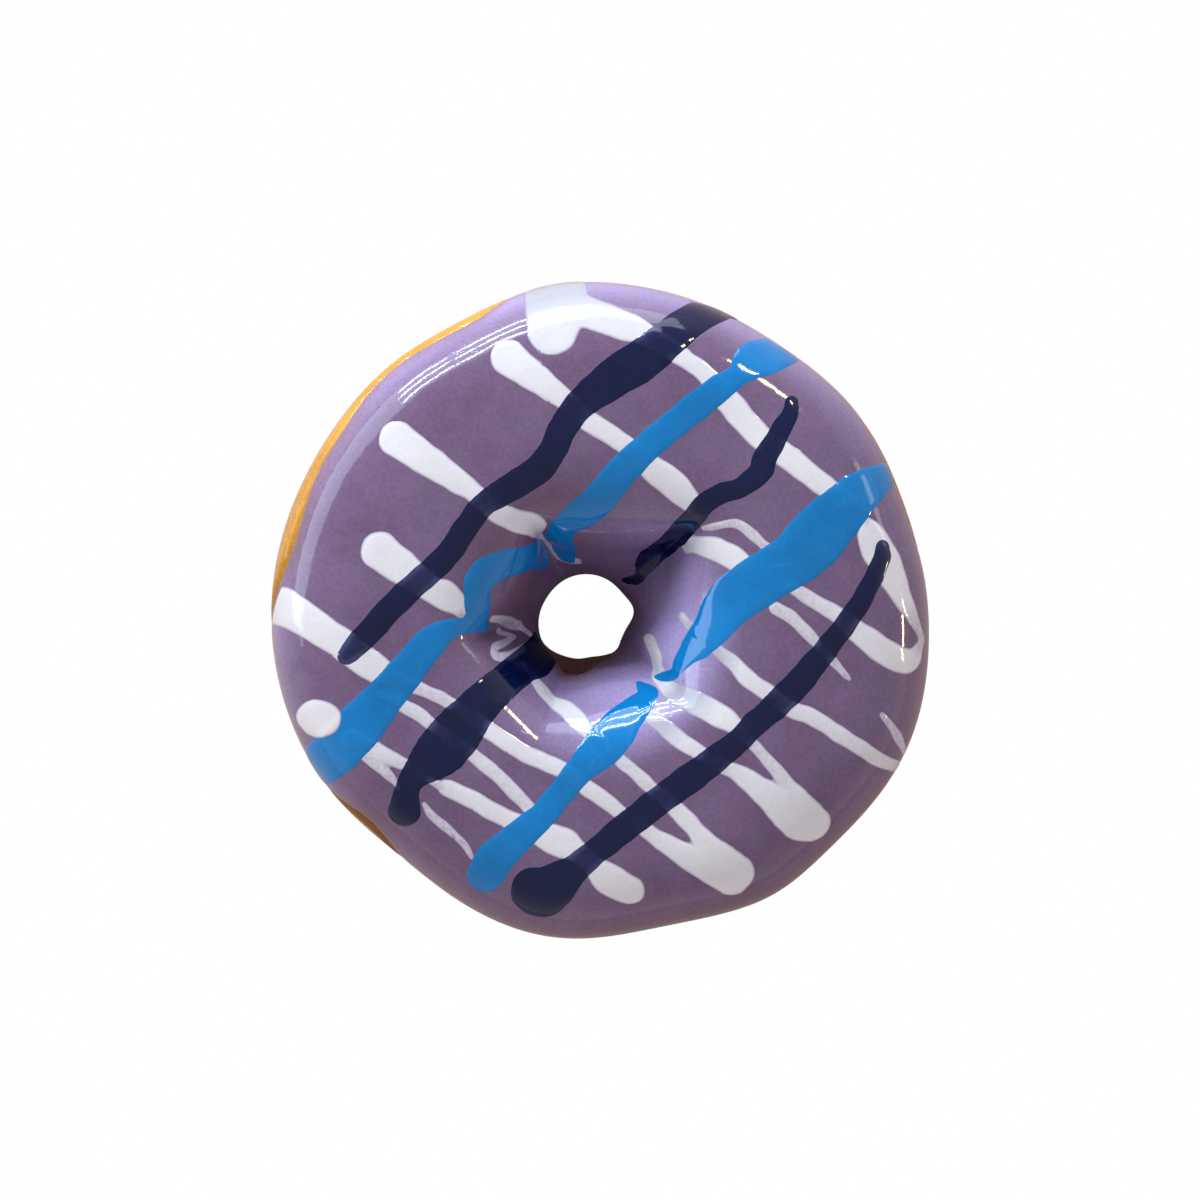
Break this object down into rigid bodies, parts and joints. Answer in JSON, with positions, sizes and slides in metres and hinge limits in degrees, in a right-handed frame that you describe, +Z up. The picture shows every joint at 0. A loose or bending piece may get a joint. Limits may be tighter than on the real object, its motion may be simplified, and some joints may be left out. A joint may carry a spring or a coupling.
{
  "type": "ceramic ring doughnut",
  "caption": "Glazed ceramic ring doughnut with a raised purple icing coat, drizzle lines in white, blue and navy, a small hole and a flat base to rest on.",
  "frame": {"origin": "centre of the flat base, in the middle of the outline, not of the hole", "axes": "+Z up through the hole, +Y towards the side with the first navy line, +X to the right of it seen from above"},
  "size_m": [0.0996, 0.0997, 0.0356],
  "materials": {
    "ochre_clay": "fired clay under a glossy ochre glaze, browner low down and in the hole",
    "purple_glaze": "glossy muted purple glaze, finely speckled and crazed",
    "white_glaze": "glossy off-white glaze, thin enough at its edges to show the purple",
    "blue_glaze": "glossy mid-blue glaze, darker where it pools",
    "navy_glaze": "glossy navy glaze, paler where it crosses the white"
  },
  "bodies": {
    "root": {"ring": "ochre_clay", "icing": "purple_glaze"}
  },
  "joints": []
}
